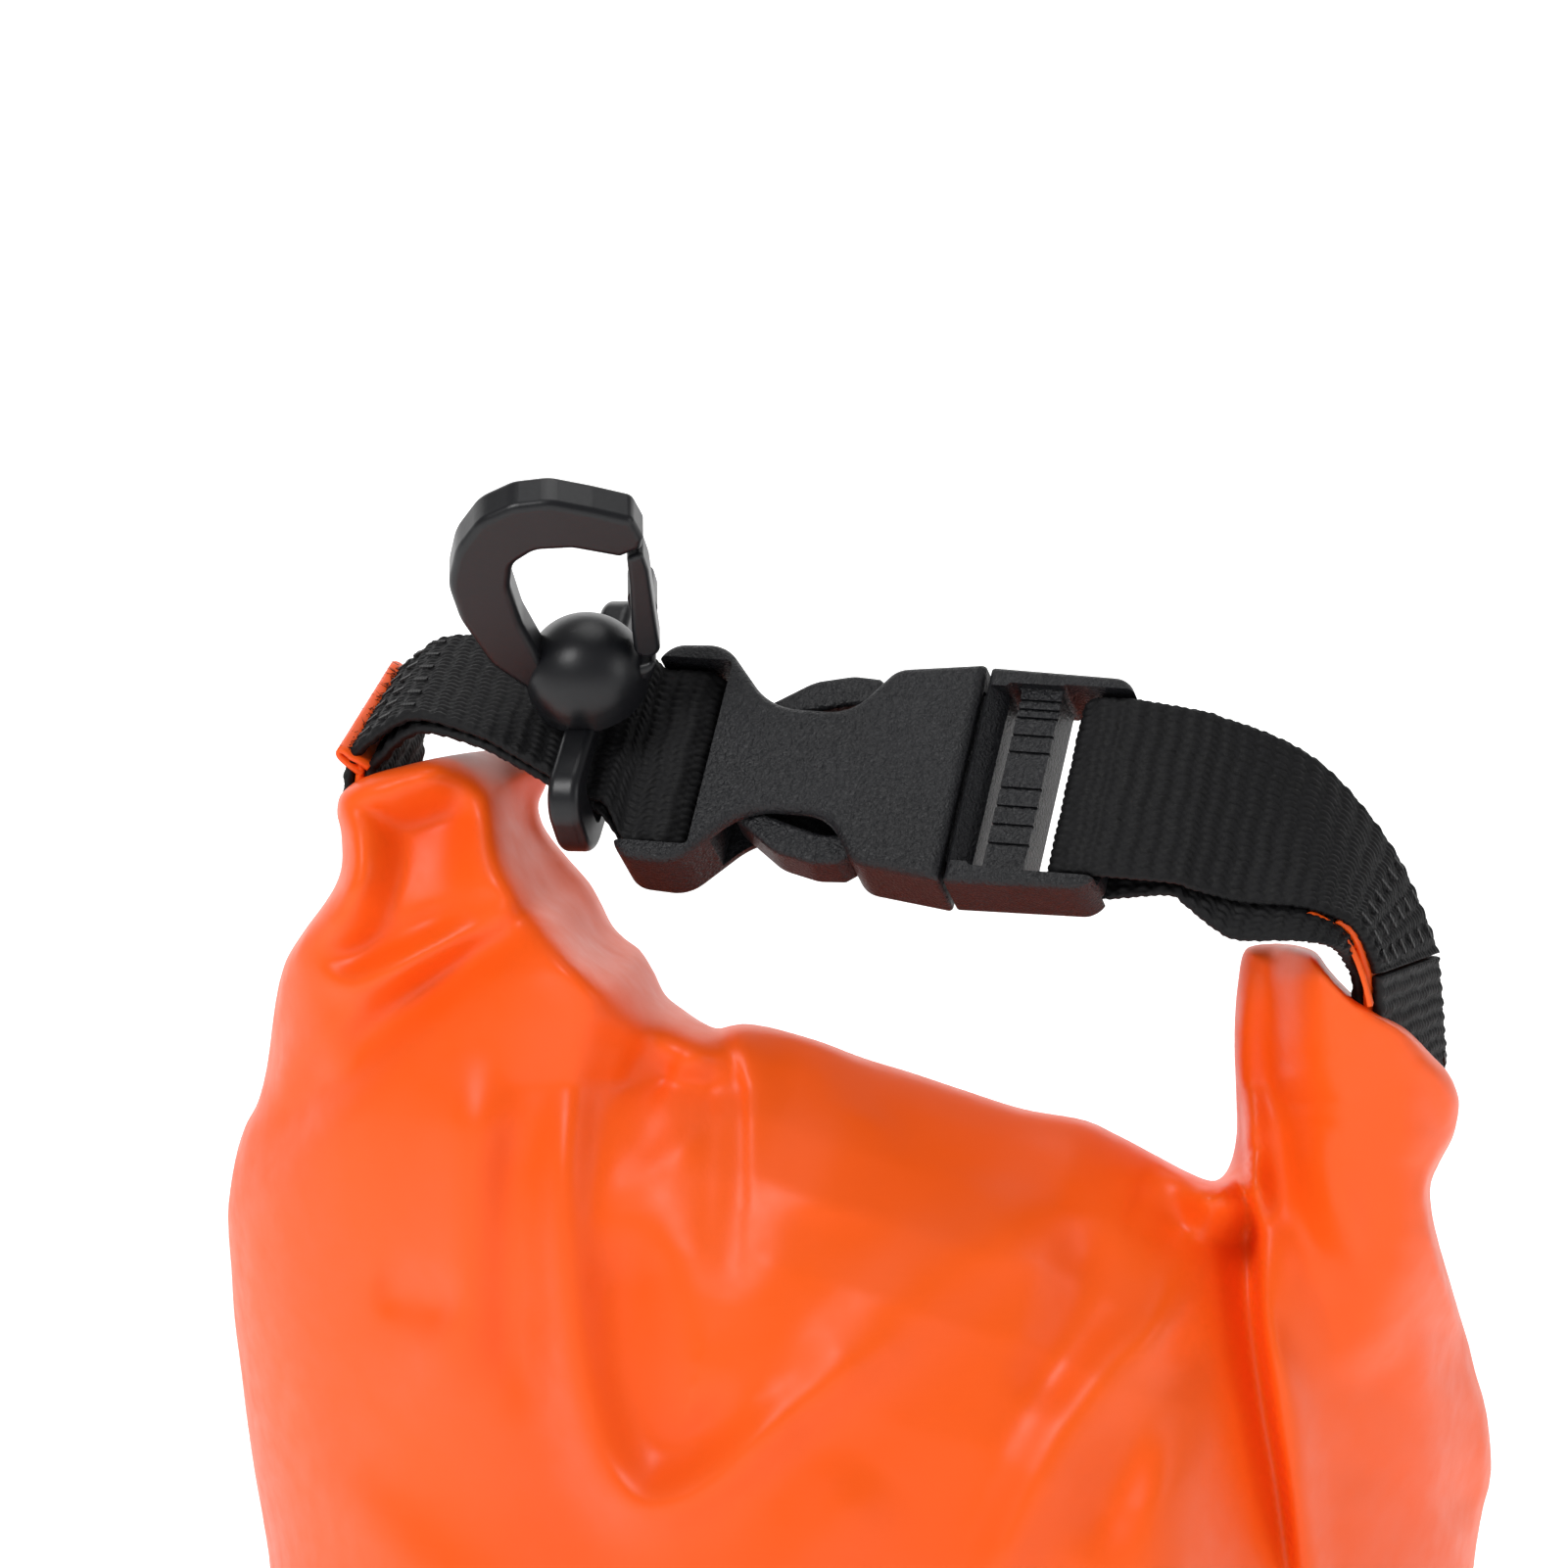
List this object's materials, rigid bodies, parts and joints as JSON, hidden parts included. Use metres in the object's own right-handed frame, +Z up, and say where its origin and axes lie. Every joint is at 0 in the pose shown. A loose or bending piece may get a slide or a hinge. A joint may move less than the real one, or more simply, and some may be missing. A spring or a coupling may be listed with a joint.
{
  "type": "roll-top dry bag",
  "caption": "Round-based orange roll-top dry bag, filled and rolled shut, with a side-release buckle closing its webbing loop handle and a swivel snap hook.",
  "frame": {"origin": "centre of the round base, on the surface the bag stands on", "axes": "+Z up along the bag, -Y towards the buckle side, +X to the right seen from the buckle side"},
  "size_m": [0.17, 0.173, 0.3138],
  "materials": {
    "coated_fabric": "smooth semi-matt coated fabric",
    "webbing": "ribbed woven webbing",
    "thread": "spun thread",
    "black_plastic": "fine leather-grain moulded plastic"
  },
  "bodies": {
    "bag": {"bag_shell": "coated_fabric", "base_panel": "coated_fabric", "base_weld_flange": "coated_fabric", "side_seam_tape": "coated_fabric", "roll_top": "coated_fabric", "mouth_hem": "coated_fabric", "mouth_webbing_outer": "webbing", "mouth_webbing_inner": "webbing", "left_strap": "webbing", "right_strap": "webbing", "left_strap_stitching": "thread", "right_strap_stitching": "thread", "mouth_stitching": "thread", "buckle_female": "black_plastic"},
    "buckle_male": {"buckle_male_frame": "black_plastic"},
    "upper_prong": {"prong_upper": "black_plastic"},
    "lower_prong": {"prong_lower": "black_plastic"},
    "hook_ring": {"hook_strap_ring": "black_plastic", "swivel_pin": "black_plastic"},
    "hook": {"hook_body": "black_plastic"},
    "gate": {"hook_gate": "black_plastic"}
  },
  "joints": [
    {"name": "buckle_release", "type": "slide", "parent": "bag", "child": "buckle_male", "axis": [0.9433, -0.3304, -0.0322], "range_m": [0, 0.028], "deforming": ["right_strap", "prong_upper", "prong_lower"]},
    {"name": "prong_upper_squeeze", "type": "hinge", "parent": "buckle_male", "child": "upper_prong", "pos_m": [0.01081, -0.06142, 0.28315], "axis": [-0.2533, -0.7791, 0.5735], "range_deg": [0, 8], "stiffness_Nm_per_rad": 0.3},
    {"name": "prong_lower_squeeze", "type": "hinge", "parent": "buckle_male", "child": "lower_prong", "pos_m": [0.00644, -0.07229, 0.26645], "axis": [0.2533, 0.7791, -0.5735], "range_deg": [0, 8], "stiffness_Nm_per_rad": 0.3},
    {"name": "hook_tilt", "type": "hinge", "parent": "bag", "child": "hook_ring", "pos_m": [-0.03366, -0.05228, 0.28102], "axis": [0.2007, 0.7253, 0.6585], "range_deg": [-4, 25]},
    {"name": "hook_swivel", "type": "hinge", "parent": "hook_ring", "child": "hook", "pos_m": [-0.0335, -0.0517, 0.28155], "axis": [-0.2008, -0.6275, 0.7523], "continuous": true},
    {"name": "gate_open", "type": "hinge", "parent": "hook", "child": "gate", "pos_m": [-0.02773, -0.06095, 0.29292], "axis": [0.0204, -0.7705, -0.6372], "range_deg": [0, 20], "stiffness_Nm_per_rad": 0.06}
  ]
}
